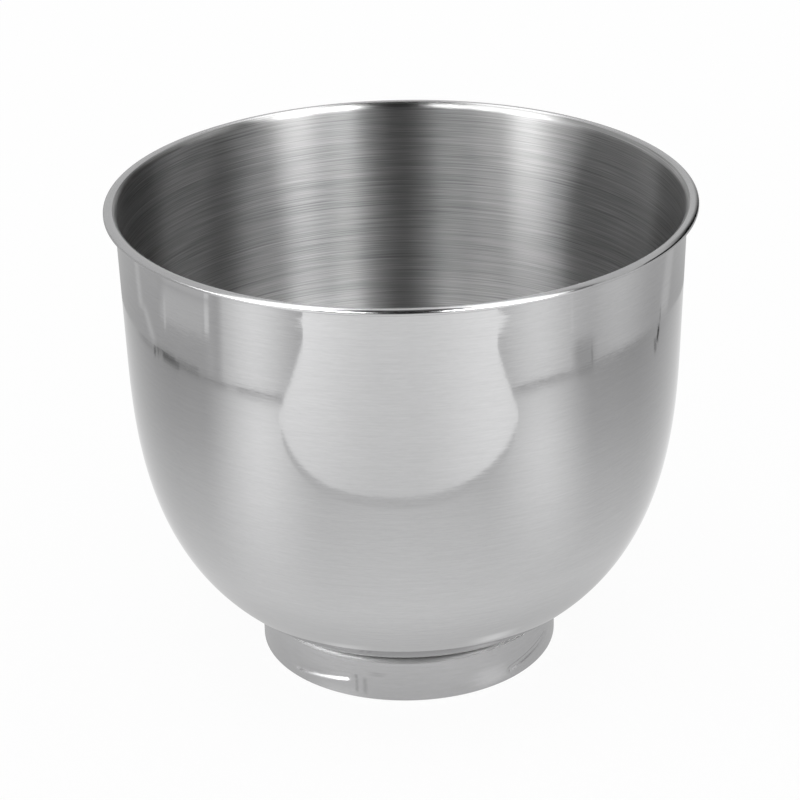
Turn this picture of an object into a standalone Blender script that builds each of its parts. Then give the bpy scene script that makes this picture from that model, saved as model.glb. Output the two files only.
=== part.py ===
"""Stand mixer bowl in stainless steel, standing on the ground with its axis on Z.

Two pressed pieces make it: a deep-drawn bowl with a rolled lip, and a foot ring whose flange is
spot-welded under the bowl. Four bayonet grooves are pressed into the wall of the foot.
Lengths are in metres and angles in degrees. Each piece is drawn as the outer skin of its sheet
and then thickened inwards.
"""

import math

import bmesh
import bpy
import numpy as np

# Bowl
LIP_DIAMETER = 0.220
LIP_WIDTH = 0.0049
LIP_BEND_RADIUS = 0.0029
LIP_EDGE_ANGLE = 40.0
BOWL_SHEET = 0.0008
WALL_TAPER = 1.38
WALL_DEPTH = 0.0553
BELLY_DEPTH = 0.1193
BELLY_FULLNESS = 2.72
KNUCKLE_SLOPE = 28.0
KNUCKLE_RADIUS = 0.030
DOME_SLOPE = 10.0
BASE_CLEARANCE = 0.0123

# Foot ring
FOOT_DIAMETER = 0.1136
FOOT_SHEET = 0.0012
FOOT_SHOULDER_RADIUS = 0.0017
FLANGE_WIDTH = 0.0090
WELD_GAP = 0.0003

# Bayonet grooves in the foot ring; the first lies to the left of the front, which faces -Y
GROOVE_COUNT = 4
GROOVE_FIRST_ANGLE = -36.3
FRONT = -90.0
GROOVE_SPAN = 28.2
GROOVE_LEVEL = 0.0073
GROOVE_HEIGHT = 0.0038
GROOVE_DEPTH = 0.0013
GROOVE_FLOOR_SHARE = 0.45

# Fineness of the faceted surfaces
BOWL_SEGMENTS = 80
LIP_BEND_STEPS = 3
LIP_CROWN_STEPS = 3
BELLY_STEPS = 11
BELLY_CROWDING = 1.3
KNUCKLE_STEPS = 3
DOME_STEPS = 3
SHOULDER_STEPS = 4
FLANGE_STEPS = 3
GROOVE_STEPS = 5
GROOVE_END_STEPS = 3
PLAIN_STEPS = 9
FINE_STEPS = 400
MERGE = 0.00001

STEEL_POLISHED = (0.62, 0.62, 0.63, 1.0)
STEEL_FOOT = (0.58, 0.58, 0.59, 1.0)


def arc(centre, radius, start, stop, steps):
    """Points (radius from the axis, height) of an arc between two angles in degrees."""
    angles = np.radians(np.linspace(start, stop, steps + 1))
    return np.stack([centre[0] + radius * np.cos(angles), centre[1] + radius * np.sin(angles)], axis=1)


def lip_profile():
    """Underside of the lip, from its cut edge over the crown and down the bend to the wall."""
    crown_run = LIP_WIDTH - LIP_BEND_RADIUS
    crown_radius = crown_run / math.cos(math.radians(LIP_EDGE_ANGLE)) - BOWL_SHEET
    bend_radius = LIP_BEND_RADIUS - BOWL_SHEET
    top_radius = LIP_DIAMETER / 2 - crown_run
    crown = arc((top_radius, -BOWL_SHEET - crown_radius), crown_radius, LIP_EDGE_ANGLE, 90, LIP_CROWN_STEPS)
    bend = arc((top_radius, -BOWL_SHEET - bend_radius), bend_radius, 90, 180 - WALL_TAPER, LIP_BEND_STEPS)
    return np.concatenate([crown, bend[1:]])


def wall_radius(depth, top):
    """Outside radius of the straight, slightly tapered wall, at a depth below the top of the lip."""
    return top[0] - (depth + top[1]) * math.tan(math.radians(WALL_TAPER))


def belly_points(depths, top):
    """Outside of the belly: the tapered wall drawn in by a superellipse below its start."""
    drop = np.clip((depths - WALL_DEPTH) / BELLY_DEPTH, 0.0, 1.0)
    radii = wall_radius(depths, top) * (1 - drop ** BELLY_FULLNESS) ** (1 / BELLY_FULLNESS)
    return np.stack([radii, -depths], axis=1)


def steepness(points):
    """Angle of a falling profile from the horizontal at each point, in degrees."""
    fall = -np.gradient(points[:, 1])
    run = -np.gradient(points[:, 0])
    return np.degrees(np.arctan2(fall, run))


def belly_profile(top):
    """Belly from the end of the wall down to where the knuckle takes over."""
    fine = belly_points(WALL_DEPTH + BELLY_DEPTH * np.linspace(0, 0.999, FINE_STEPS), top)
    slopes = steepness(fine)
    share = np.linspace(0, 1, BELLY_STEPS + 1) ** BELLY_CROWDING
    levels = slopes[0] + (KNUCKLE_SLOPE - slopes[0]) * share
    depths = np.interp(-levels, -slopes, -fine[:, 1])
    return belly_points(depths, top)


def base_profile(start):
    """Knuckle and shallow dome, from the end of the belly to the axis."""
    knuckle_centre = (
        start[0] - KNUCKLE_RADIUS * math.sin(math.radians(KNUCKLE_SLOPE)),
        start[1] + KNUCKLE_RADIUS * math.cos(math.radians(KNUCKLE_SLOPE)),
    )
    knuckle = arc(knuckle_centre, KNUCKLE_RADIUS, KNUCKLE_SLOPE - 90, DOME_SLOPE - 90, KNUCKLE_STEPS)
    rim = knuckle[-1]
    dome_radius = rim[0] / math.sin(math.radians(DOME_SLOPE))
    dome_centre = (0.0, rim[1] + dome_radius * math.cos(math.radians(DOME_SLOPE)))
    dome = arc(dome_centre, dome_radius, DOME_SLOPE - 90, -90, DOME_STEPS)
    dome[-1, 0] = 0.0
    return np.concatenate([knuckle[1:], dome[1:]])


def bowl_profile():
    """Outer skin of the bowl from the lip's edge to the axis, with its lowest point at BASE_CLEARANCE."""
    lip = lip_profile()
    belly = belly_profile(lip[-1])
    base = base_profile(belly[-1])
    points = np.concatenate([lip, belly, base])
    points[:, 1] += BASE_CLEARANCE - points[-1, 1]
    return points


def offset_below(points, distance):
    """The part of a falling profile under the bowl, moved outwards along its normals."""
    run = np.gradient(points, axis=0)
    normals = np.stack([-run[:, 1], run[:, 0]], axis=1)
    normals /= np.linalg.norm(normals, axis=1)[:, None]
    return points + distance * normals


def weld_seat():
    """Fine curve that the top of the foot's flange follows, at the weld gap below the bowl."""
    coarse = bowl_profile()
    lowest = coarse[np.argmax(np.abs(coarse[:, 1] - coarse[0, 1]) > WALL_DEPTH):]
    steps = np.linspace(0, len(lowest) - 1, FINE_STEPS)
    index = np.arange(len(lowest))
    fine = np.stack([np.interp(steps, index, lowest[:, axis]) for axis in (0, 1)], axis=1)
    return offset_below(fine, WELD_GAP)


def foot_profile():
    """Outer skin of the foot ring: groove rows up the wall, the shoulder, then the welded flange."""
    wall = FOOT_DIAMETER / 2
    seat = weld_seat()
    shoulder_axis = wall - FOOT_SHOULDER_RADIUS
    reach = FOOT_SHOULDER_RADIUS ** 2 - (seat[:, 0] - shoulder_axis) ** 2
    under = reach > 0
    levels = seat[under, 1] - np.sqrt(reach[under])
    touch = np.argmin(levels)
    shoulder_centre = (shoulder_axis, levels[touch])
    contact = seat[under][touch]
    turn = math.degrees(math.atan2(contact[1] - shoulder_centre[1], contact[0] - shoulder_centre[0]))
    shoulder = arc(shoulder_centre, FOOT_SHOULDER_RADIUS, 0, turn, SHOULDER_STEPS)
    inner = contact[0] - FLANGE_WIDTH
    radii = np.linspace(contact[0], inner, FLANGE_STEPS + 1)[1:]
    heights = np.interp(-radii, -seat[:, 0], seat[:, 1])
    flange = np.stack([radii, heights], axis=1)
    half = GROOVE_HEIGHT / 2
    rows = [0, GROOVE_LEVEL - half, GROOVE_LEVEL - half * GROOVE_FLOOR_SHARE]
    rows += [GROOVE_LEVEL + half * GROOVE_FLOOR_SHARE, GROOVE_LEVEL + half]
    straight = np.array([(wall, row) for row in rows])
    return np.concatenate([straight, shoulder, flange])


def groove_angles():
    """Columns of the foot ring in degrees: close together round each groove's ends, wide elsewhere."""
    half = GROOVE_SPAN / 2
    end = math.degrees(GROOVE_HEIGHT / FOOT_DIAMETER)
    ends = np.linspace(half - end, half, GROOVE_END_STEPS + 1)
    floor = np.linspace(end - half, half - end, GROOVE_STEPS + 1)
    plain = np.linspace(half, 360 / GROOVE_COUNT - half, PLAIN_STEPS + 1)
    pitch = np.concatenate([-ends[::-1], floor[1:-1], ends, plain[1:-1]])
    first = FRONT + GROOVE_FIRST_ANGLE
    return np.concatenate([first + pitch + 360 / GROOVE_COUNT * number for number in range(GROOVE_COUNT)])


def groove_push(angle, height):
    """How far the wall is pressed in at a column and a height: full on the floor, none past the edge."""
    pitch = 360 / GROOVE_COUNT
    from_middle = (angle - FRONT - GROOVE_FIRST_ANGLE + pitch / 2) % pitch - pitch / 2
    along = abs(math.radians(from_middle)) * FOOT_DIAMETER / 2
    half = GROOVE_HEIGHT / 2
    past_end = max(0.0, along - math.radians(GROOVE_SPAN / 2) * FOOT_DIAMETER / 2 + half)
    share = math.hypot(past_end, height - GROOVE_LEVEL) / half
    return GROOVE_DEPTH * min(1.0, max(0.0, (1 - share) / (1 - GROOVE_FLOOR_SHARE)))


def steel(name, colour, roughness):
    """Stainless steel with the colour and polish of one piece."""
    material = bpy.data.materials.new(name)
    material.use_nodes = True
    shader = material.node_tree.nodes["Principled BSDF"]
    shader.inputs["Base Color"].default_value = colour
    shader.inputs["Metallic"].default_value = 1.0
    shader.inputs["Roughness"].default_value = roughness
    return material


def add_object(name, mesh, material):
    """One named piece, shaded smooth apart from its sheet edges."""
    mesh.materials.append(material)
    mesh.shade_smooth()
    piece = bpy.data.objects.new(name, mesh)
    bpy.context.scene.collection.objects.link(piece)
    return piece


def thicken(piece, sheet):
    """Gives a skin the thickness of its sheet, measured inwards."""
    solidify = piece.modifiers.new("Sheet", "SOLIDIFY")
    solidify.thickness = sheet
    solidify.offset = -1.0
    solidify.use_even_offset = True


def make_bowl_shell():
    """The bowl's profile turned about the axis, then given its thickness."""
    points = bowl_profile()
    mesh = bpy.data.meshes.new("bowl_shell")
    edges = [(number, number + 1) for number in range(len(points) - 1)]
    mesh.from_pydata([(radius, 0.0, height) for radius, height in points], edges, [])
    piece = add_object("bowl_shell", mesh, steel("bowl_steel", STEEL_POLISHED, 0.12))
    turn = piece.modifiers.new("Turned", "SCREW")
    turn.axis = "Z"
    turn.angle = 2 * math.pi
    turn.steps = BOWL_SEGMENTS
    turn.render_steps = BOWL_SEGMENTS
    turn.use_merge_vertices = True
    turn.merge_threshold = MERGE
    thicken(piece, BOWL_SHEET)
    return piece


def make_foot_ring():
    """The foot's profile carried round the axis, with the grooves pressed in column by column."""
    points = foot_profile()
    angles = groove_angles()
    grid = bmesh.new()
    columns = []
    for angle in angles:
        turn = math.radians(angle)
        column = []
        for radius, height in points:
            pressed = radius - groove_push(angle, height)
            place = (pressed * math.cos(turn), pressed * math.sin(turn), height)
            column.append(grid.verts.new(place))
        columns.append(column)
    for left, right in zip(columns, columns[1:] + columns[:1]):
        for row in range(len(points) - 1):
            grid.faces.new((left[row], right[row], right[row + 1], left[row + 1]))
    mesh = bpy.data.meshes.new("foot_ring")
    grid.to_mesh(mesh)
    grid.free()
    piece = add_object("foot_ring", mesh, steel("foot_steel", STEEL_FOOT, 0.18))
    thicken(piece, FOOT_SHEET)
    return piece


def main():
    """Clears the scene and builds the bowl and its foot under one empty."""
    for old in list(bpy.data.objects):
        bpy.data.objects.remove(old)
    carrier = bpy.data.objects.new("mixer_bowl", None)
    bpy.context.scene.collection.objects.link(carrier)
    for piece in (make_bowl_shell(), make_foot_ring()):
        piece.parent = carrier


main()
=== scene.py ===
"""Looks of the stand mixer bowl: its two steel pieces as smooth turned surfaces, and the table-top studio round it.

Lengths are in metres and angles in degrees. The bowl stands on the ground with its axis on Z and its front
towards -Y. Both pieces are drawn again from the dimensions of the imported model, finely enough for a mirror
finish, and stand for its faceted solids. The foot's diameter, the slant, level and depth of its grooves, and the
lip's outer edge follow the photograph more closely than the solids do.
"""

import math

import bpy
import numpy as np
from mathutils import Matrix, Vector


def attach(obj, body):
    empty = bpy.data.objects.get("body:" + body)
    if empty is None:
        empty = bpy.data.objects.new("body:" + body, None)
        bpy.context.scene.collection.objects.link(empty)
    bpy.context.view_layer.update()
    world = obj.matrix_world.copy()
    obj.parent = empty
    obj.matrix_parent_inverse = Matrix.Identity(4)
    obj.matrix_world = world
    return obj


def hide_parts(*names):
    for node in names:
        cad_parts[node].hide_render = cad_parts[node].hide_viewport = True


# Bowl
LIP_DIAMETER = 0.220
LIP_WIDTH = 0.0049
LIP_BEND_RADIUS = 0.0029
LIP_CROWN_TURN = 30.0
LIP_CORNER_RADIUS = 0.0009
LIP_EDGE_HEIGHT = 0.0004
BOWL_SHEET = 0.0008
WALL_TAPER = 1.38
WALL_DEPTH = 0.0553
BELLY_DEPTH = 0.1193
BELLY_FULLNESS = 2.72
KNUCKLE_SLOPE = 28.0
KNUCKLE_RADIUS = 0.030
DOME_SLOPE = 10.0
BASE_CLEARANCE = 0.0123

# Foot ring
FOOT_DIAMETER = 0.1156
FOOT_SHEET = 0.0012
FOOT_EDGE_RADIUS = 0.00035
FOOT_SHOULDER_RADIUS = 0.0017
FLANGE_WIDTH = 0.0090
WELD_GAP = 0.0003
# WELD_SHADE: width of the band on the bowl beyond the foot that is dull and painted darker as shade
WELD_SHADE = 0.0012

# Bayonet grooves in the foot ring; angles run from the front, to the right
GROOVE_COUNT = 4
GROOVE_FIRST_ANGLE = -36.3
GROOVE_SPAN = 28.2
GROOVE_LEVEL = 0.0063
GROOVE_SLANT = 0.147
GROOVE_HEIGHT = 0.0044
GROOVE_DEPTH = 0.0006
FRONT = -90.0

# Fineness of the turned surfaces
LIP_EDGE_STEPS = 3
LIP_CORNER_STEPS = 10
LIP_CROWN_STEPS = 8
LIP_BEND_STEPS = 16
LIP_ROWS = LIP_EDGE_STEPS + LIP_CORNER_STEPS + 1 + LIP_CROWN_STEPS + LIP_BEND_STEPS
LIP_POLISHED_ROWS = LIP_ROWS - LIP_BEND_STEPS * 3 // 4
WALL_ROWS = 92
BOWL_COLUMNS = 288
FOOT_EDGE_STEPS = 4
FOOT_WALL_ROWS = 51
FOOT_SHOULDER_STEPS = 10
FLANGE_ROWS = 9
FOOT_COLUMNS = 600
FINE_STEPS = 1200

# Camera, as the photograph was taken
CAMERA_DISTANCE = 0.9991
CAMERA_PITCH = 25.2
CAMERA_ROLL = -1.12
CAMERA_AIM = (0.0, 0.0, 0.0993)
CAMERA_LENS = 117.0
CAMERA_SENSOR = 36.0
CAMERA_SHIFT = -0.006

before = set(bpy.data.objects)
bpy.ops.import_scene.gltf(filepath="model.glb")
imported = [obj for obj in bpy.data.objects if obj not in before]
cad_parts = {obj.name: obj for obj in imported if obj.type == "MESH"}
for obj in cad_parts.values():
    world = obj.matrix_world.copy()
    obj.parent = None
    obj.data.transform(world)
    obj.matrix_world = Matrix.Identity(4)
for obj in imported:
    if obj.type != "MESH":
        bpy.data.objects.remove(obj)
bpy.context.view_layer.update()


# ---- Section curves ----


def arc(centre, radius, start, stop, steps):
    """Points (radius from the axis, height) of a circular arc between two angles in degrees."""
    angles = np.radians(np.linspace(start, stop, steps + 1))
    return np.stack([centre[0] + radius * np.cos(angles), centre[1] + radius * np.sin(angles)], axis=1)


def inward_normals(points):
    """Unit normals to the right of a profile's run: into the sheet where it falls, out of it where it rises."""
    run = np.gradient(points, axis=0)
    normals = np.stack([run[:, 1], -run[:, 0]], axis=1)
    return normals / np.linalg.norm(normals, axis=1)[:, None]


def lip_profile():
    """Underside of the lip: up its upright edge, round the corner, over the crown, then down the bend to the wall."""
    run = LIP_WIDTH - LIP_BEND_RADIUS
    turn = math.radians(LIP_CROWN_TURN)
    crown_radius = (run - LIP_CORNER_RADIUS * (1 - math.sin(turn))) / math.sin(turn)
    start = LIP_DIAMETER / 2 - run
    between = crown_radius - LIP_CORNER_RADIUS
    corner_centre = (start + between * math.sin(turn), -crown_radius + between * math.cos(turn))
    corner = arc(corner_centre, LIP_CORNER_RADIUS - BOWL_SHEET, 0, 90 - LIP_CROWN_TURN, LIP_CORNER_STEPS)
    upright = np.linspace(corner[0] - (0, LIP_EDGE_HEIGHT), corner[0], LIP_EDGE_STEPS + 1)[:-1]
    crown = arc((start, -crown_radius), crown_radius - BOWL_SHEET, 90 - LIP_CROWN_TURN, 90, LIP_CROWN_STEPS)
    bend = arc((start, -LIP_BEND_RADIUS), LIP_BEND_RADIUS - BOWL_SHEET, 90, 180 - WALL_TAPER, LIP_BEND_STEPS)
    return np.concatenate([upright, corner, crown[1:], bend[1:]])


def belly_points(depths, top):
    """Outside of wall and belly: a straight taper times a superellipse (1 - u^n)^(1/n) below the wall's end."""
    drop = np.clip((depths - WALL_DEPTH) / BELLY_DEPTH, 0.0, 1.0)
    taper = top[0] - (depths + top[1]) * math.tan(math.radians(WALL_TAPER))
    return np.stack([taper * (1 - drop ** BELLY_FULLNESS) ** (1 / BELLY_FULLNESS), -depths], axis=1)


def wall_profile(top, steps):
    """Wall and belly down to the knuckle, with the points spread by length and by turn together."""
    fine = belly_points(np.linspace(-top[1], WALL_DEPTH + 0.999 * BELLY_DEPTH, FINE_STEPS), top)
    run = np.diff(fine, axis=0)
    slope = np.degrees(np.arctan2(-run[:, 1], -run[:, 0]))
    kept = slope > KNUCKLE_SLOPE
    length = np.cumsum(np.hypot(run[kept, 0], run[kept, 1]))
    turn = slope[0] - slope[kept]
    share = length / length[-1] + turn / turn[-1]
    depths = np.interp(np.linspace(share[0], share[-1], steps), share, -fine[1:][kept][:, 1])
    return belly_points(depths, top)


def base_profile(start):
    """Knuckle arc and shallow dome arc, from the end of the belly to the axis."""
    knuckle_centre = (
        start[0] - KNUCKLE_RADIUS * math.sin(math.radians(KNUCKLE_SLOPE)),
        start[1] + KNUCKLE_RADIUS * math.cos(math.radians(KNUCKLE_SLOPE)),
    )
    knuckle = arc(knuckle_centre, KNUCKLE_RADIUS, KNUCKLE_SLOPE - 90, DOME_SLOPE - 90, 10)
    rim = knuckle[-1]
    dome_radius = rim[0] / math.sin(math.radians(DOME_SLOPE))
    dome_centre = (0.0, rim[1] + dome_radius * math.cos(math.radians(DOME_SLOPE)))
    dome = arc(dome_centre, dome_radius, DOME_SLOPE - 90, -90, 12)
    dome[-1, 0] = 0.0
    return np.concatenate([knuckle[1:], dome[1:]])


def bowl_outside():
    """Outer skin of the bowl from the lip's edge to the axis, with its lowest point at BASE_CLEARANCE."""
    lip = lip_profile()
    wall = wall_profile(lip[-1], WALL_ROWS)
    points = np.concatenate([lip, wall[1:], base_profile(wall[-1])])
    points[:, 1] += BASE_CLEARANCE - points[-1, 1]
    return points


def bowl_section():
    """Closed section of the bowl's sheet, from the axis below, round the cut edge, to the axis inside."""
    outside = bowl_outside()
    normals = inward_normals(outside)
    normals[-1] = (0.0, 1.0)
    inside = outside + BOWL_SHEET * normals
    middle = (outside[0] + inside[0]) / 2
    back = outside[0] - outside[1]
    back = back / np.linalg.norm(back)
    turn = np.linspace(0, math.pi, 8)[1:-1, None]
    edge = middle + BOWL_SHEET / 2 * (back * np.sin(turn) - normals[0] * np.cos(turn))
    section = np.concatenate([outside[::-1], edge, inside])
    return section, len(outside), len(edge)


def weld_seat():
    """Curve that the top of the foot's flange follows, at the weld gap below the bowl."""
    below = bowl_outside()
    below = below[below[:, 0] < FOOT_DIAMETER / 2 + 0.004]
    steps = np.linspace(0, len(below) - 1, FINE_STEPS)
    index = np.arange(len(below))
    fine = np.stack([np.interp(steps, index, below[:, axis]) for axis in (0, 1)], axis=1)
    return fine - WELD_GAP * inward_normals(fine)


def foot_section():
    """Closed section of the foot ring's sheet: up the wall, over the shoulder, along the flange and back inside."""
    wall = FOOT_DIAMETER / 2
    seat = weld_seat()
    shoulder_axis = wall - FOOT_SHOULDER_RADIUS
    reach = FOOT_SHOULDER_RADIUS ** 2 - (seat[:, 0] - shoulder_axis) ** 2
    under = reach > 0
    levels = seat[under, 1] - np.sqrt(reach[under])
    touch = np.argmin(levels)
    shoulder_centre = (shoulder_axis, levels[touch])
    contact = seat[under][touch]
    turn = math.degrees(math.atan2(contact[1] - shoulder_centre[1], contact[0] - shoulder_centre[0]))
    low_edge = arc((wall - FOOT_EDGE_RADIUS, FOOT_EDGE_RADIUS), FOOT_EDGE_RADIUS, -90, 0, FOOT_EDGE_STEPS)
    rise = np.linspace(FOOT_EDGE_RADIUS, shoulder_centre[1], FOOT_WALL_ROWS + 2)[1:-1]
    straight = np.stack([np.full(len(rise), wall), rise], axis=1)
    shoulder = arc(shoulder_centre, FOOT_SHOULDER_RADIUS, 0, turn, FOOT_SHOULDER_STEPS)
    radii = np.linspace(contact[0], contact[0] - FLANGE_WIDTH, FLANGE_ROWS + 1)[1:]
    flange = np.stack([radii, np.interp(-radii, -seat[:, 0], seat[:, 1])], axis=1)
    outside = np.concatenate([low_edge, straight, shoulder, flange])
    core = np.concatenate([low_edge[-1:], straight, shoulder, flange])
    inside = core - FOOT_SHEET * inward_normals(core)
    return outside, core, inside


# ---- Meshes ----


def grid_piece(name, points, lay, closed_section, materials, zones):
    """A piece from a grid of points, rows along its section and columns round the axis.

    The columns always close on themselves. The section closes too, or ends in a pole at either end.
    lay holds a point's place round the axis and along the section, for patterns that follow the sheet.
    """
    rows, columns = points.shape[:2]
    number = np.arange(rows * columns).reshape(rows, columns)
    if not closed_section:
        number = np.clip(number - (columns - 1), 0, (rows - 2) * columns + 1)
        number[0] = 0
    last = rows if closed_section else rows - 1
    low = np.arange(last)
    high = (low + 1) % rows
    left = np.arange(columns)
    right = (left + 1) % columns
    corners = [(low, left, 0), (low, right, 1), (high, right, 1), (high, left, 0)]
    quads = np.stack([number[row][:, column] for row, column, _ in corners], axis=-1)
    run = lay[:, 0, 2]
    across = [run[row] if row is low else np.where(high == 0, run[-1], run[high]) for row, _, _ in corners]
    uv = [
        np.stack(np.broadcast_arrays((left + extra)[None, :] / columns, along[:, None]), axis=-1)
        for along, (_, _, extra) in zip(across, corners)
    ]
    uv = np.stack(uv, axis=2)
    zone = np.broadcast_to(zones[:last, None], (last, columns))
    if closed_section:
        faces = quads.reshape(-1, 4).tolist()
        loops = uv.reshape(-1, 2)
        zone = zone.ravel()
        used = np.arange(rows * columns)
    else:
        first, body, tail = quads[0][:, [0, 2, 3]], quads[1:-1].reshape(-1, 4), quads[-1][:, [0, 1, 2]]
        faces = first.tolist() + body.tolist() + tail.tolist()
        loops = np.concatenate([
            uv[0][:, [0, 2, 3]].reshape(-1, 2), uv[1:-1].reshape(-1, 2), uv[-1][:, [0, 1, 2]].reshape(-1, 2)
        ])
        zone = zone.ravel()
        used = np.concatenate([[0], np.arange(columns, (rows - 1) * columns), [(rows - 1) * columns]])
    mesh = bpy.data.meshes.new(name)
    mesh.from_pydata(points.reshape(-1, 3)[used].tolist(), [], faces)
    for material in materials:
        mesh.materials.append(material)
    mesh.polygons.foreach_set("material_index", zone.astype(np.int32))
    mesh.uv_layers.new(name="around").data.foreach_set("uv", loops.astype(np.float32).ravel())
    place = mesh.attributes.new("lay", "FLOAT_VECTOR", "POINT")
    place.data.foreach_set("vector", lay.reshape(-1, 3)[used].astype(np.float32).ravel())
    mesh.shade_smooth()
    mesh.validate()
    piece = bpy.data.objects.new(name, mesh)
    bpy.context.scene.collection.objects.link(piece)
    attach(piece, "root")
    return piece


def turn_section(section, columns, mean_radius):
    """Points (r cos t, r sin t, z) of a section turned about Z, and their lay (R cos t, R sin t, length)."""
    turn = np.radians(FRONT) + np.linspace(0, 2 * math.pi, columns, endpoint=False)
    shape = (len(section), columns)
    radius, height = np.broadcast_to(section[:, :1], shape), np.broadcast_to(section[:, 1:], shape)
    points = np.stack([radius * np.cos(turn), radius * np.sin(turn), height], axis=-1)
    length = np.concatenate([[0.0], np.cumsum(np.linalg.norm(np.diff(section, axis=0), axis=1))])
    around = np.broadcast_to(mean_radius * np.stack([np.cos(turn), np.sin(turn)], axis=-1), (*shape, 2))
    lay = np.concatenate([around, np.broadcast_to(length[:, None], shape)[..., None]], axis=-1)
    return points, lay, turn


def make_bowl(outside_steel, lip_steel, inside_steel, weld_matt_and_shade_steel):
    """The bowl's closed section turned about the axis: polished outside and lip, brushed inside, dull at the weld.

    At the weld, next to the foot, the colour is also darker: painted shade in the crease between bowl and foot.
    """
    section, skin, edge = bowl_section()
    points, lay, _ = turn_section(section, BOWL_COLUMNS, LIP_DIAMETER / 2)
    rows = np.arange(len(section))
    zones = np.where(rows < skin - LIP_ROWS, 0, np.where(rows < skin + edge + LIP_POLISHED_ROWS, 1, 2))
    zones = np.where((rows < skin) & (section[:, 0] < FOOT_DIAMETER / 2 + WELD_SHADE), 3, zones)
    materials = [outside_steel, lip_steel, inside_steel, weld_matt_and_shade_steel]
    return grid_piece("bowl_steel_sheet", points, lay, False, materials, zones)


def groove_depth(turn, height):
    """Depth pressed into the foot's wall: a smooth slanting channel of stadium outline, cos^2 across it."""
    pitch = 2 * math.pi / GROOVE_COUNT
    first = math.radians(FRONT + GROOVE_FIRST_ANGLE)
    aside = ((turn - first + pitch / 2) % pitch - pitch / 2) * FOOT_DIAMETER / 2
    along, above = np.abs(aside), height - GROOVE_LEVEL - GROOVE_SLANT * aside
    half = GROOVE_HEIGHT / 2
    straight = math.radians(GROOVE_SPAN / 2) * FOOT_DIAMETER / 2 - half
    share = np.clip(np.hypot(np.maximum(along - straight, 0), above) / half, 0, 1)
    return GROOVE_DEPTH * np.cos(share * math.pi / 2) ** 2


def make_foot(foot_steel, shoulder_matt_and_shade_steel):
    """The foot ring's closed section turned about the axis: wall pressed in along the grooves, dull shoulder.

    The shoulder's darker colour is painted shade under the bowl's belly.
    """
    outside, core, inside = foot_section()
    wall = FOOT_DIAMETER / 2
    inner_edge_centre = (wall - FOOT_SHEET + FOOT_EDGE_RADIUS, FOOT_EDGE_RADIUS)
    inner_edge = arc(inner_edge_centre, FOOT_EDGE_RADIUS, 180, 270, FOOT_EDGE_STEPS)
    section = np.concatenate([outside, inside[::-1][:-1], inner_edge])
    points, lay, turn = turn_section(section, FOOT_COLUMNS, wall)
    pressed = groove_depth(turn[None, :], section[:, 1:])
    upright = (section[:, :1] > wall - FOOT_SHEET - 0.0001) & (section[:, 1:] < GROOVE_LEVEL + 2 * GROOVE_HEIGHT)
    pressed = np.where(upright, pressed, 0.0)
    points[..., 0] -= pressed * np.cos(turn)
    points[..., 1] -= pressed * np.sin(turn)
    rows = np.arange(len(section))
    zones = np.where((rows > FOOT_EDGE_STEPS + FOOT_WALL_ROWS) & (rows < len(outside)), 1, 0)
    return grid_piece("foot_steel_ring", points, lay, True, [foot_steel, shoulder_matt_and_shade_steel], zones)


# ---- Node helpers and shared node groups ----


def add_node(tree, kind, links=None, values=None, **settings):
    """A node with its settings, the values of its sockets, and what its sockets are linked from."""
    made = tree.nodes.new(kind)
    for key, value in settings.items():
        setattr(made, key, value)
    for key, value in (values or {}).items():
        made.inputs[key].default_value = value
    for key, source in (links or {}).items():
        tree.links.new(source, made.inputs[key])
    return made


def math_node(tree, operation, first, second=None, third=None, clamp=False):
    """The output of a Math node between sockets or plain numbers."""
    made = tree.nodes.new("ShaderNodeMath")
    made.operation = operation
    made.use_clamp = clamp
    for slot, source in enumerate((first, second, third)):
        if source is None:
            continue
        if isinstance(source, (int, float)):
            made.inputs[slot].default_value = source
        else:
            tree.links.new(source, made.inputs[slot])
    return made.outputs[0]


def ramp(tree, value, start, stop, low, high, smooth=False):
    """The output of a Map Range node: low at start to high at stop, level beyond them."""
    made = tree.nodes.new("ShaderNodeMapRange")
    made.interpolation_type = "SMOOTHSTEP" if smooth else "LINEAR"
    tree.links.new(value, made.inputs["Value"])
    for key, number in (("From Min", start), ("From Max", stop), ("To Min", low), ("To Max", high)):
        made.inputs[key].default_value = number
    return made.outputs["Result"]


def new_group(name, inputs, outputs):
    """An empty shader node group with named inputs (name, kind, default) and outputs (name, kind)."""
    group = bpy.data.node_groups.new(name, "ShaderNodeTree")
    for label, kind, default in inputs:
        socket = group.interface.new_socket(label, in_out="INPUT", socket_type=kind)
        if default is not None:
            socket.default_value = default
    for label, kind in outputs:
        group.interface.new_socket(label, in_out="OUTPUT", socket_type=kind)
    return group, group.nodes.new("NodeGroupInput").outputs, group.nodes.new("NodeGroupOutput").inputs


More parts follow.
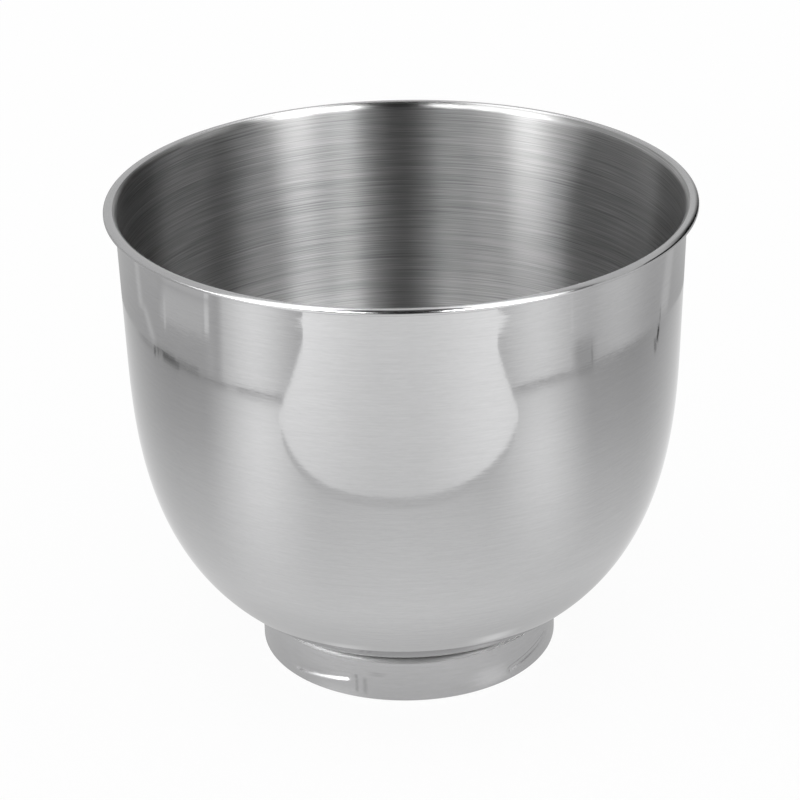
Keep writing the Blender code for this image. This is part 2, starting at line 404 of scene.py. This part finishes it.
def make_turned_lines():
    """Node group: fine lines that run round the axis, long and short ones together, wandering a little.

    Lay is multiplied by the lines' frequency round the axis and across, after its length along the section
    has been shifted by a slow wander. One noise is read there and one where lines are four times shorter.
    """
    group, given, result = new_group(
        "turned_lines",
        [
            ("Lay", "NodeSocketVector", None),
            ("Round", "NodeSocketFloat", 90.0),
            ("Across", "NodeSocketFloat", 2500.0),
            ("Wander", "NodeSocketFloat", 0.001),
        ],
        [("Lines", "NodeSocketFloat")],
    )
    slow = add_node(group, "ShaderNodeTexNoise", {"Vector": given["Lay"]}, {"Scale": 14.0, "Detail": 0.0})
    wander = math_node(group, "MULTIPLY", math_node(group, "SUBTRACT", slow.outputs["Fac"], 0.5), given["Wander"])
    parts = add_node(group, "ShaderNodeSeparateXYZ", {"Vector": given["Lay"]})
    across = math_node(group, "MULTIPLY", math_node(group, "ADD", parts.outputs["Z"], wander), given["Across"])
    layers = []
    for shorter, offset in ((1.0, 0.0), (4.0, 71.3)):
        around = math_node(group, "MULTIPLY", given["Round"], shorter)
        place = add_node(
            group,
            "ShaderNodeCombineXYZ",
            {
                "X": math_node(group, "MULTIPLY", parts.outputs["X"], around),
                "Y": math_node(group, "MULTIPLY", parts.outputs["Y"], around),
                "Z": math_node(group, "ADD", across, offset),
            },
        )
        lines = add_node(
            group,
            "ShaderNodeTexNoise",
            {"Vector": place.outputs[0]},
            {"Scale": 1.0, "Detail": 1.0, "Roughness": 0.6},
        )
        layers.append(lines.outputs["Fac"])
    both = math_node(group, "ADD", *layers)
    group.links.new(math_node(group, "MULTIPLY", both, 0.5), result["Lines"])
    return group


def make_handling_marks():
    """Node group: slow cloudy patches where steel has been wiped and handled, 0 to 1."""
    group, given, result = new_group(
        "handling_marks",
        [("Place", "NodeSocketVector", None), ("Size", "NodeSocketFloat", 40.0), ("Share", "NodeSocketFloat", 0.5)],
        [("Marks", "NodeSocketFloat")],
    )
    cloud = add_node(
        group,
        "ShaderNodeTexNoise",
        {"Vector": given["Place"], "Scale": given["Size"]},
        {"Detail": 4.0, "Roughness": 0.62, "Distortion": 0.4},
    )
    low = math_node(group, "SUBTRACT", 0.85, math_node(group, "MULTIPLY", given["Share"], 0.6))
    marks = add_node(
        group,
        "ShaderNodeMapRange",
        {"Value": cloud.outputs["Fac"], "From Min": low},
        {"From Max": 0.85},
        interpolation_type="SMOOTHSTEP",
    )
    group.links.new(marks.outputs["Result"], result["Marks"])
    return group


def make_line_tilt():
    """Node group: tips a surface normal N across the lines, N + B k (across - 1/2) + T m (round - 1/2).

    T runs round the axis at Place, and B = N x T runs along the section.
    """
    group, given, result = new_group(
        "line_tilt",
        [
            ("Normal", "NodeSocketVector", None),
            ("Place", "NodeSocketVector", None),
            ("Across Lines", "NodeSocketFloat", 0.5),
            ("Round Lines", "NodeSocketFloat", 0.5),
            ("Across Tilt", "NodeSocketFloat", 0.5),
            ("Round Tilt", "NodeSocketFloat", 0.1),
        ],
        [("Normal", "NodeSocketVector")],
    )

    def vector(operation, first, second):
        made = add_node(group, "ShaderNodeVectorMath", {0: first}, operation=operation)
        slot = made.inputs["Scale"] if operation == "SCALE" else made.inputs[1]
        group.links.new(second, slot)
        return made.outputs[0]

    axis = add_node(group, "ShaderNodeCombineXYZ", {}, {"Z": 1.0}).outputs[0]
    turn = vector("CROSS_PRODUCT", axis, given["Place"])
    turn = add_node(group, "ShaderNodeVectorMath", {0: turn}, operation="NORMALIZE").outputs[0]
    rise = vector("CROSS_PRODUCT", given["Normal"], turn)
    across = math_node(group, "SUBTRACT", given["Across Lines"], 0.5)
    round_ = math_node(group, "SUBTRACT", given["Round Lines"], 0.5)
    across = math_node(group, "MULTIPLY", across, given["Across Tilt"])
    round_ = math_node(group, "MULTIPLY", round_, given["Round Tilt"])
    tipped = vector("ADD", given["Normal"], vector("SCALE", rise, across))
    tipped = vector("ADD", tipped, vector("SCALE", turn, round_))
    tipped = add_node(group, "ShaderNodeVectorMath", {0: tipped}, operation="NORMALIZE").outputs[0]
    group.links.new(tipped, result["Normal"])
    return group


def use_group(tree, group, links, values):
    """A node group placed in a material, with its inputs linked or set."""
    made = add_node(tree, "ShaderNodeGroup", node_tree=group)
    for key, source in links.items():
        tree.links.new(source, made.inputs[key])
    for key, value in values.items():
        made.inputs[key].default_value = value
    return made.outputs[0]


def make_dark_marks(marks):
    """Node group: the share of brightness left by soft dark marks, each at an azimuth and a height.

    A mark is its azimuth from the front and its height, its half widths in both, and the share it takes.
    """
    group, given, result = new_group(
        "dark_marks", [("Place", "NodeSocketVector", None)], [("Left", "NodeSocketFloat")]
    )
    parts = add_node(group, "ShaderNodeSeparateXYZ", {"Vector": given["Place"]})
    toward = math_node(group, "MULTIPLY", parts.outputs["Y"], -1.0)
    azimuth = math_node(group, "MULTIPLY", math_node(group, "ARCTAN2", parts.outputs["X"], toward), 180 / math.pi)
    cloud = add_node(group, "ShaderNodeTexNoise", {"Vector": given["Place"]}, {"Scale": 900.0, "Detail": 2.0})
    ragged = math_node(group, "MULTIPLY_ADD", cloud.outputs["Fac"], 1.2, 0.4)
    left = 1.0
    for middle, height, half_turn, half_height, share in marks:
        aside = math_node(group, "ABSOLUTE", math_node(group, "SUBTRACT", azimuth, middle))
        above = math_node(group, "ABSOLUTE", math_node(group, "SUBTRACT", parts.outputs["Z"], height))
        spot = math_node(
            group,
            "MULTIPLY",
            ramp(group, aside, half_turn, 0.0, 0.0, share, smooth=True),
            ramp(group, above, half_height, half_height / 2, 0.0, 1.0, smooth=True),
        )
        left = math_node(group, "SUBTRACT", left, math_node(group, "MULTIPLY", spot, ragged))
    group.links.new(left, result["Left"])
    return group


def steel(name, groups, finish, dark_marks=None):
    """Stainless steel: lines round the axis and handling marks vary its colour, roughness and surface.

    finish names the numbers of one surface, explained beside POLISHED below.
    """
    lines_group, tilt_group, marks_group = groups
    material = bpy.data.materials.new(name)
    material.use_nodes = True
    tree = material.node_tree
    shader = tree.nodes["Principled BSDF"]
    shader.distribution = "GGX"
    shader.inputs["Metallic"].default_value = 1.0
    shader.inputs["Anisotropic"].default_value = finish["spread"]
    shader.inputs["Anisotropic Rotation"].default_value = 0.25
    lay = add_node(tree, "ShaderNodeAttribute", attribute_name="lay").outputs["Vector"]
    place = add_node(tree, "ShaderNodeTexCoord").outputs["Object"]
    surface = add_node(tree, "ShaderNodeNewGeometry").outputs["Normal"]
    tangent = add_node(tree, "ShaderNodeTangent", direction_type="UV_MAP", uv_map="around")
    tree.links.new(tangent.outputs[0], shader.inputs["Tangent"])
    layers = []
    for key in ("fine", "coarse", "sideways"):
        around, across, wander = finish[key]
        numbers = {"Round": around, "Across": across, "Wander": wander}
        layers.append(use_group(tree, lines_group, {"Lay": lay}, numbers))
    fine, coarse, sideways = layers
    numbers = {"Size": finish["mark_size"], "Share": finish["mark_share"]}
    marks = use_group(tree, marks_group, {"Place": place}, numbers)
    half_coarse = math_node(tree, "MULTIPLY", coarse, finish["coarse_share"])
    grain = math_node(tree, "MULTIPLY_ADD", fine, 1 - finish["coarse_share"], half_coarse)
    centred = math_node(tree, "SUBTRACT", grain, 0.5)
    rough = math_node(tree, "MULTIPLY_ADD", centred, finish["rough_lines"], finish["roughness"])
    rough = math_node(tree, "MULTIPLY_ADD", marks, finish["rough_marks"], rough, clamp=True)
    tree.links.new(rough, shader.inputs["Roughness"])
    tone = math_node(tree, "MULTIPLY_ADD", centred, finish["tone_lines"], 1.0)
    tone = math_node(tree, "MULTIPLY_ADD", marks, -finish["tone_marks"], tone)
    if dark_marks is not None:
        tone = math_node(tree, "MULTIPLY", tone, use_group(tree, dark_marks, {"Place": place}, {}))
    colour = add_node(tree, "ShaderNodeVectorMath", {"Scale": tone}, {0: finish["colour"]}, operation="SCALE")
    tree.links.new(colour.outputs[0], shader.inputs["Base Color"])
    tipped = use_group(
        tree,
        tilt_group,
        {"Normal": surface, "Place": place, "Across Lines": grain, "Round Lines": sideways},
        {"Across Tilt": finish["across_tilt"], "Round Tilt": finish["round_tilt"]},
    )
    tree.links.new(tipped, shader.inputs["Normal"])
    return material


# ---- Studio ----


def glow(name, level):
    """A plain emitting material: the strength is a number, or the attribute of the mesh that level names."""
    material = bpy.data.materials.new(name)
    material.use_nodes = True
    tree = material.node_tree
    tree.nodes.clear()
    light = tree.nodes.new("ShaderNodeEmission")
    if isinstance(level, str):
        source = add_node(tree, "ShaderNodeAttribute", attribute_name=level).outputs["Fac"]
        tree.links.new(source, light.inputs["Strength"])
    else:
        light.inputs["Strength"].default_value = level
    add_node(tree, "ShaderNodeOutputMaterial", {"Surface": light.outputs[0]})
    return material


def stage_mesh(name, points, faces, material):
    """A piece of the studio that metal sees and the camera does not."""
    mesh = bpy.data.meshes.new(name)
    mesh.from_pydata([tuple(p) for p in points], [], faces)
    mesh.materials.append(material)
    thing = bpy.data.objects.new(name, mesh)
    bpy.context.scene.collection.objects.link(thing)
    thing.visible_camera = False
    thing.visible_shadow = False
    thing.visible_diffuse = False
    return thing


def sheet_edge(x):
    """Near edge of the paper sheet: y = -(NEAR + WAVE / 2 (1 + tanh((x + 0.09) / 0.05)))."""
    return -(SHEET_NEAR + SHEET_WAVE / 2 * (1 + np.tanh((x + 0.09) / 0.05)))


def make_sheet():
    """The paper sheet, with rounded corners and a wide far part, and the strip of shade along its near edge."""
    low, high = SHEET_SIDES
    x = np.linspace(low + SHEET_CORNER, high - SHEET_CORNER, 31)
    near = sheet_edge(x)
    right = arc((high - SHEET_CORNER, near[-1] - SHEET_CORNER), SHEET_CORNER, 90, 0, 8)
    left = arc((low + SHEET_CORNER, near[0] - SHEET_CORNER), SHEET_CORNER, 180, 90, 8)
    right_flare = arc((high + SHEET_FLARE, SHEET_FAR + SHEET_FLARE), SHEET_FLARE, 180, 270, 8)
    left_flare = arc((low - SHEET_FLARE, SHEET_FAR + SHEET_FLARE), SHEET_FLARE, 270, 360, 8)
    back = np.array([(0.75, SHEET_FAR + 0.04), (0.75, -1.1), (-0.75, -1.1), (-0.75, SHEET_FAR + 0.07)])
    middle = np.stack([x, near], axis=1)[1:-1]
    paper = np.concatenate([left, middle, right, right_flare, back, left_flare])
    shift = SHADE_WIDTH * np.sqrt(np.sin(np.linspace(0.0, math.pi, 31)))
    shade = np.concatenate([np.stack([x, near + shift], axis=1), np.stack([x, near - SHEET_CORNER], axis=1)[::-1]])
    for name, outline, height, material in (
        ("sheet_shade", shade, -0.0003, glow("sheet_shade", SHADE_LEVEL)),
        ("sheet", paper, -0.0002, ground_material("sheet", SHEET_BASE, SHEET_BEAMS, [])),
    ):
        stage_mesh(name, [(*point, height) for point in outline], [tuple(range(len(outline)))], material)


def ground_material(name, base, beams, marks):
    """Table, sheet or floor as the steel mirrors it, glowing with painted light: a level, beams of light and soft
    marks.

    The level along the distance paints the light falling on the ground, and on the table its shade round the middle
    is a painted shadow of the bowl. Beams are painted pools of light, and soft marks are painted patches that set the
    level. Distance and azimuth are taken from the table's middle, azimuth from the front to the right. A beam adds
    its gain round its azimuth, growing with distance. A mark replaces the level inside its window of azimuth and
    distance, whose edges are soft and which may slant.
    """
    material = bpy.data.materials.new(name)
    material.use_nodes = True
    tree = material.node_tree
    tree.nodes.clear()
    place = add_node(tree, "ShaderNodeTexCoord").outputs["Object"]
    parts = add_node(tree, "ShaderNodeSeparateXYZ", {"Vector": place})
    x = math_node(tree, "SUBTRACT", parts.outputs["X"], TABLE_MIDDLE)
    away = add_node(tree, "ShaderNodeCombineXYZ", {"X": x, "Y": parts.outputs["Y"]})
    radius = add_node(tree, "ShaderNodeVectorMath", {0: away.outputs[0]}, operation="LENGTH").outputs["Value"]
    toward = math_node(tree, "MULTIPLY", parts.outputs["Y"], -1.0)
    azimuth = math_node(tree, "MULTIPLY", math_node(tree, "ARCTAN2", x, toward), 180 / math.pi)
    near, far, level_near, level_far, shade = base
    level = ramp(tree, radius, near, far, level_near, level_far)
    if shade:
        level = math_node(tree, "SUBTRACT", level, ramp(tree, radius, *SHADE_REACH, shade, 0.0, smooth=True))
    for middle, half, start, stop, gain in beams:
        aside = math_node(tree, "ABSOLUTE", math_node(tree, "SUBTRACT", azimuth, middle))
        bump = ramp(tree, aside, half, 0.0, 0.0, 1.0, smooth=True)
        level = math_node(tree, "MULTIPLY_ADD", bump, ramp(tree, radius, start, stop, 0.0, gain), level)
    for turns, turn_soft, radii, radius_soft, slant, mark in marks:
        middle, centre = sum(turns) / 2, sum(radii) / 2
        slanted = math_node(tree, "MULTIPLY_ADD", radius, -slant, slant * centre - middle)
        aside = math_node(tree, "ABSOLUTE", math_node(tree, "ADD", azimuth, slanted))
        beside = math_node(tree, "ABSOLUTE", math_node(tree, "SUBTRACT", radius, centre))
        windows = []
        for value, (low, high), soft in ((aside, turns, turn_soft), (beside, radii, radius_soft)):
            half = (high - low) / 2
            windows.append(ramp(tree, value, half + soft / 2, max(half - soft / 2, 0.0), 0.0, 1.0, smooth=True))
        window = math_node(tree, "MULTIPLY", *windows)
        change = math_node(tree, "MULTIPLY", math_node(tree, "SUBTRACT", mark, level), window)
        level = math_node(tree, "ADD", level, change)
    light = add_node(tree, "ShaderNodeEmission", {"Strength": level})
    add_node(tree, "ShaderNodeOutputMaterial", {"Surface": light.outputs[0]})
    return material


def make_table():
    """The round table top and the floor beyond it, as two flat rings that the outside mirrors and that glow with
    painted light.
    """
    steps = 180
    turn = np.linspace(0, 2 * math.pi, steps, endpoint=False)
    for name, (inner, outer), base, beams, marks in (
        ("table_top", (TABLE_HOLE, TABLE_RADIUS), TABLE_BASE, TABLE_BEAMS, TABLE_SHADE_AND_LIGHT),
        ("studio_floor", (TABLE_RADIUS, FLOOR_RADIUS), FLOOR_BASE, FLOOR_BEAMS, FLOOR_PATCHES),
    ):
        rings = [
            np.stack([TABLE_MIDDLE + r * np.cos(turn), r * np.sin(turn), np.full(steps, TABLE_HEIGHT)], axis=1)
            for r in (inner, outer)
        ]
        faces = [(i, i + steps, (i + 1) % steps + steps, (i + 1) % steps) for i in range(steps)]
        stage_mesh(name, np.concatenate(rings), faces, ground_material(name, base, beams, marks))


# Softbox bars: fan angle of the middle, half width, brightness low, a third and halfway up
SOFTBOX_BARS = [
    (-22.8, 5.1, 3.3, 0.0, 27.0),
    (-12.7, 3.5, 1.7, 0.0, 32.5),
    (-28.5, 4.4, 3.3, 0.0, 0.0),
    (-42.5, 4.4, 1.9, 0.0, 0.0),
    (29.6, 4.6, 3.7, 10.6, 6.7),
    (19.9, 3.5, 0.2, 2.6, 11.1),
    (11.4, 4.0, 0.0, 0.0, 17.5),
    (39.4, 14.5, 3.1, 6.0, 0.0),
]
FAN_POLE = 0.845
STRIP_LEVEL = 2.0
BACK_LEVEL = 0.6
BACK_SHADE = 0.0
SOFTBOX_DISTANCE = 2.5
SOFTBOX_CENTRE = 0.17
SKY_FOR_FLOOR = 1.16
WHITE_SHARE = 0.93

# Ground as the steel mirrors it, glowing with painted light. A base is: near and far distance, levels there,
# painted shadow under the bowl.
# A beam, a painted pool of light, is: azimuth, half width, distances where it begins and is full, gain.
# A mark, a painted patch that sets the level, is: azimuths, softness, distances, softness, slant in degrees a metre,
# level.
TABLE_RADIUS = 0.383
TABLE_HOLE = 0.002
TABLE_HEIGHT = -0.0006
FLOOR_RADIUS = 4.0
TABLE_MIDDLE = 0.006
SHADE_REACH = (0.055, 0.113)
TABLE_BASE = (0.113, 0.383, 0.678, 0.328, 0.138)
TABLE_BEAMS = [
    (-53, 26, 0.096, 0.342, 0.47),
    (48, 24, 0.124, 0.316, 0.36),
    (-4, 140, -0.033, 0.250, 0.22),
    (-166, 77, -0.1, 0.0, 0.37),
    (164, 74, -0.1, 0.0, 0.39),
]
# Table marks: painted light beside the foot, and painted shade along the table's edge, darkest in spots
TABLE_SHADE_AND_LIGHT = [
    ((25, 40), 16, (0.0575, 0.067), 0.004, 0, 0.80),
    ((-42, -26), 16, (0.0575, 0.067), 0.004, 0, 0.74),
    ((-120, -40), 12, (0.377, 0.392), 0.006, 0, 0.34),
    ((36, 100), 12, (0.376, 0.392), 0.006, 0, 0.40),
    ((64.5, 71.0), 3, (0.374, 0.392), 0.004, 0, 0.34),
    ((-101.5, -91.0), 1.2, (0.3765, 0.392), 0.003, 0, 0.13),
    ((-92.0, -80.0), 2, (0.379, 0.3812), 0.002, 0, 0.16),
    ((-75.8, -70.5), 2, (0.378, 0.392), 0.003, 0, 0.36),
    ((-67.0, -62.0), 3, (0.378, 0.392), 0.003, 0, 0.55),
    ((-108.2, -106.6), 0.6, (0.374, 0.400), 0.004, 0, 0.16),
    ((-105.3, -104.4), 0.6, (0.376, 0.400), 0.004, 0, 0.22),
    ((112.0, 113.6), 0.8, (0.362, 0.379), 0.006, 90, 0.02),
    ((109.2, 111.2), 1.2, (0.352, 0.366), 0.006, 0, 0.24),
]
FLOOR_BASE = (0.40, 0.50, 0.463, 0.517, 0.0)
FLOOR_BEAMS = [(-55, 24, 0.0, 0.01, 0.50), (48, 26, 0.0, 0.01, 0.42), (84, 26, 0.0, 0.01, 0.18)]
# Floor marks: lighter and darker patches painted into the glowing floor just beyond the table
FLOOR_PATCHES = [
    ((-101, -76), 5, (0.425, 0.469), 0.012, 60, 0.60),
    ((-103, -74), 5, (0.474, 0.560), 0.012, 0, 0.42),
    ((-100, -98.7), 0.9, (0.416, 0.452), 0.010, 0, 0.66),
    ((-76.9, -74.6), 1.1, (0.430, 0.468), 0.006, 0, 0.78),
    ((-113.8, -109.6), 4, (0.390, 0.424), 0.012, -215, 0.60),
    ((-122.0, -118.2), 4, (0.418, 0.500), 0.012, -48, 0.60),
    ((-74, -69.5), 4, (0.380, 0.520), 0.02, 0, 0.50),
    ((-106.0, -93.0), 3, (0.3700, 0.3865), 0.003, 0, 0.16),
    ((-92.0, -80.5), 2, (0.3846, 0.3866), 0.002, 0, 0.16),
    ((61.7, 62.8), 0.7, (0.425, 0.457), 0.008, 0, 0.72),
    ((63, 72), 5, (0.383, 0.412), 0.02, 0, 0.43),
    ((70.8, 71.5), 0.6, (0.380, 0.402), 0.006, 0, 0.32),
    ((114.2, 115.4), 0.8, (0.384, 0.400), 0.006, 60, 0.18),
    ((118, 126), 5, (0.390, 0.480), 0.03, 90, 0.58),
]

# Sheet of paper on the table, glowing with painted light; the strip along its near edge is painted shade.
SHEET_SIDES = (-0.256, 0.233)
SHEET_NEAR = 0.2495
SHEET_WAVE = 0.0215
SHEET_FAR = -0.372
SHEET_CORNER = 0.013
SHEET_FLARE = 0.016
SHEET_BASE = (0.30, 0.60, 0.800, 0.910, 0.0)
SHEET_BEAMS = [(-42, 34, 0.127, 0.984, 0.72), (33, 32, 0.0, 0.01, 0.22)]
SHADE_LEVEL = 0.64
SHADE_WIDTH = 0.019


def softbox_level(x, y, z):
    """Brightness of the softboxes in the direction (x, y, z): bars exp(-|(fan - middle) / half|^2.5) and strips.

    fan is the angle, seen from above, between the direction's point and the front, measured at a point FAN_POLE
    behind the axis. Light that grooves round the bowl's inside send to the camera lies on such lines. swing is
    the angle from the front horizon over the zenith. The bars fill its lower part, two strips run on overhead,
    and behind the bowl is an even pale backdrop with one dark panel low on the right.
    """
    fan = np.degrees(np.arctan2(-x, FAN_POLE - y))
    swing = np.degrees(np.arctan2(z, -y))
    bars = np.zeros(x.shape)
    for middle, half, low, third, halfway in SOFTBOX_BARS:
        strength = np.interp(swing, [0, 22, 28, 38, 42, 53, 57], [low, low, third, third, halfway, halfway, 0])
        bars += strength * np.exp(-np.abs((fan - middle) / half) ** 2.5)
    strips = np.interp(fan, [-36, -33, -16, -13, 13, 16, 36, 40], [0, 1, 1, 0, 0, 1, 1, 0])
    sides = np.interp(fan, [-44, -36, 36, 42], [1, 0, 0, 1])
    overhead = STRIP_LEVEL * strips + BACK_LEVEL * sides
    aside, rise = np.degrees(np.arctan2(-x, y)), np.degrees(np.arcsin(z))
    panel = np.interp(aside, [-100, -90, -30, -16], [0, 1, 1, 0]) * np.interp(rise, [26, 34], [1, 0])
    backdrop = BACK_LEVEL + (BACK_SHADE - BACK_LEVEL) * panel
    backdrop = backdrop + (overhead - backdrop) * strips * np.interp(swing, [138, 146], [1, 0])
    overhead = overhead + (backdrop - overhead) * np.interp(swing, [118, 124], [0, 1])
    return bars + overhead * np.interp(swing, [53, 57], [0, 1])


def make_softboxes():
    """The softboxes: a half sphere round the bowl, its brightness softbox_level as an attribute of its points."""
    rises, turns = np.radians(np.linspace(0, 89.5, 61)), np.radians(np.linspace(0, 360, 361))
    rise, turn = np.meshgrid(rises, turns, indexing="ij")
    x, y = np.cos(rise) * np.cos(turn), np.cos(rise) * np.sin(turn)
    points = SOFTBOX_DISTANCE * np.stack([x, y, np.sin(rise)], axis=-1) + np.array([0.0, 0.0, SOFTBOX_CENTRE])
    number = np.arange(points.shape[0] * points.shape[1]).reshape(points.shape[:2])
    faces = np.stack([number[:-1, :-1], number[1:, :-1], number[1:, 1:], number[:-1, 1:]], axis=-1).reshape(-1, 4)
    softboxes = stage_mesh("softboxes", points.reshape(-1, 3), faces.tolist(), glow("softboxes", "level"))
    values = softboxes.data.attributes.new("level", "FLOAT", "POINT")
    values.data.foreach_set("value", softbox_level(x, y, np.sin(rise)).astype(np.float32).ravel())


def make_studio():
    """White floor and background for the camera, and what the steel mirrors: table, sheet, softboxes."""
    half = 6.0
    floor_mesh = bpy.data.meshes.new("floor")
    corners = [(-half, -half, 0), (half, -half, 0), (half, half, 0), (-half, half, 0)]
    floor_mesh.from_pydata(corners, [], [(0, 1, 2, 3)])
    floor = bpy.data.objects.new("floor", floor_mesh)
    bpy.context.scene.collection.objects.link(floor)
    floor.location.z = -0.0002
    floor.visible_glossy = False
    material = bpy.data.materials.new("floor_white")
    material.use_nodes = True
    tree = material.node_tree
    tree.nodes.clear()
    path = add_node(tree, "ShaderNodeLightPath")
    matte = add_node(tree, "ShaderNodeBsdfDiffuse", {}, {"Color": (0.95, 0.95, 0.95, 1.0)})
    white = add_node(tree, "ShaderNodeEmission", {}, {"Strength": 1.0})
    share = math_node(tree, "MULTIPLY", path.outputs["Is Camera Ray"], WHITE_SHARE)
    mix = add_node(tree, "ShaderNodeMixShader", {0: share, 1: matte.outputs[0], 2: white.outputs[0]})
    add_node(tree, "ShaderNodeOutputMaterial", {"Surface": mix.outputs[0]})
    floor_mesh.materials.append(material)

    make_table()
    make_sheet()
    make_softboxes()

    world = bpy.data.worlds.new("studio")
    bpy.context.scene.world = world
    world.use_nodes = True
    tree = world.node_tree
    tree.nodes.clear()
    path = add_node(tree, "ShaderNodeLightPath")
    seen, lit = path.outputs["Is Camera Ray"], path.outputs["Is Diffuse Ray"]
    strength = math_node(tree, "MULTIPLY_ADD", lit, SKY_FOR_FLOOR, seen)
    sky = add_node(tree, "ShaderNodeBackground", {"Strength": strength})
    add_node(tree, "ShaderNodeOutputWorld", {"Surface": sky.outputs[0]})


def make_camera():
    """The photograph's camera: its distance, downward pitch and slight roll about the line of sight."""
    pitch, roll = math.radians(CAMERA_PITCH), math.radians(CAMERA_ROLL)
    forward = Vector((0, math.cos(pitch), -math.sin(pitch)))
    level, rise = Vector((1, 0, 0)), Vector((0, math.sin(pitch), math.cos(pitch)))
    right = math.cos(roll) * level + math.sin(roll) * rise
    up = math.cos(roll) * rise - math.sin(roll) * level
    data = bpy.data.cameras.new("camera")
    data.lens = CAMERA_LENS
    data.sensor_width = CAMERA_SENSOR
    data.shift_x = CAMERA_SHIFT
    camera = bpy.data.objects.new("camera", data)
    bpy.context.scene.collection.objects.link(camera)
    place = Vector(CAMERA_AIM) - CAMERA_DISTANCE * forward
    turn = Matrix((right, up, -forward)).transposed().to_4x4()
    camera.matrix_world = Matrix.Translation(place) @ turn
    bpy.context.scene.camera = camera


# One surface of the steel. colour and roughness hold between the lines, spread is the anisotropy. fine, coarse and
# sideways are line patterns: how often they change round the axis and across it, per metre, and how far they wander.
# coarse_share mixes the coarse lines with the fine, and the rest says how far lines and handling marks change
# roughness, tone and surface tilt.
POLISHED = {
    "colour": (0.63, 0.63, 0.635),
    "roughness": 0.055,
    "spread": 0.6,
    "fine": (90.0, 2700.0, 0.0005),
    "coarse": (30.0, 900.0, 0.001),
    "sideways": (60.0, 1500.0, 0.0005),
    "coarse_share": 0.4,
    "rough_lines": 0.08,
    "rough_marks": 0.02,
    "tone_lines": 0.25,
    "tone_marks": 0.02,
    "across_tilt": 0.02,
    "round_tilt": 0.01,
    "mark_size": 30.0,
    "mark_share": 0.5,
}
LIP = dict(POLISHED, roughness=0.19, spread=0.8)
BRUSHED = dict(
    POLISHED,
    colour=(0.44, 0.44, 0.44),
    roughness=0.31,
    spread=1.0,
    fine=(10.0, 3400.0, 0.0006),
    coarse=(6.0, 1300.0, 0.0010),
    sideways=(20.0, 2700.0, 0.001),
    coarse_share=0.25,
    rough_lines=0.04,
    tone_lines=2.6,
    across_tilt=0.30,
    round_tilt=0.03,
)
FOOT = dict(POLISHED, colour=(0.60, 0.60, 0.605), roughness=0.22)
# Matt steel for the foot's shoulder and the weld band; its colour, darker than the foot's, is painted shade in the
# crease between bowl and foot
SHOULDER_MATT_AND_SHADE = dict(POLISHED, colour=(0.54, 0.54, 0.543), roughness=0.60, spread=0.2)

# Dark marks on the foot round its weld seam: azimuth, height, half widths, share
FOOT_MARKS = [
    (-20.6, 0.0055, 1.1, 0.0040, 0.20),
    (-17.3, 0.0055, 1.5, 0.0045, 0.18),
    (-20.9, 0.0091, 1.2, 0.0010, 0.22),
    (-12.5, 0.0110, 5.0, 0.0012, 0.12),
]

shared = (make_turned_lines(), make_line_tilt(), make_handling_marks())
bowl = make_bowl(
    steel("polished_outside", shared, POLISHED),
    steel("polished_lip", shared, LIP),
    steel("brushed_inside", shared, BRUSHED),
    steel("weld_zone_matt_and_shade", shared, SHOULDER_MATT_AND_SHADE),
)
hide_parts("bowl_shell")
foot = make_foot(
    steel("pressed_foot", shared, FOOT, make_dark_marks(FOOT_MARKS)),
    steel("foot_shoulder_matt_and_shade", shared, SHOULDER_MATT_AND_SHADE),
)
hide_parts("foot_ring")

make_studio()
make_camera()
bpy.context.scene.view_settings.view_transform = "Standard"
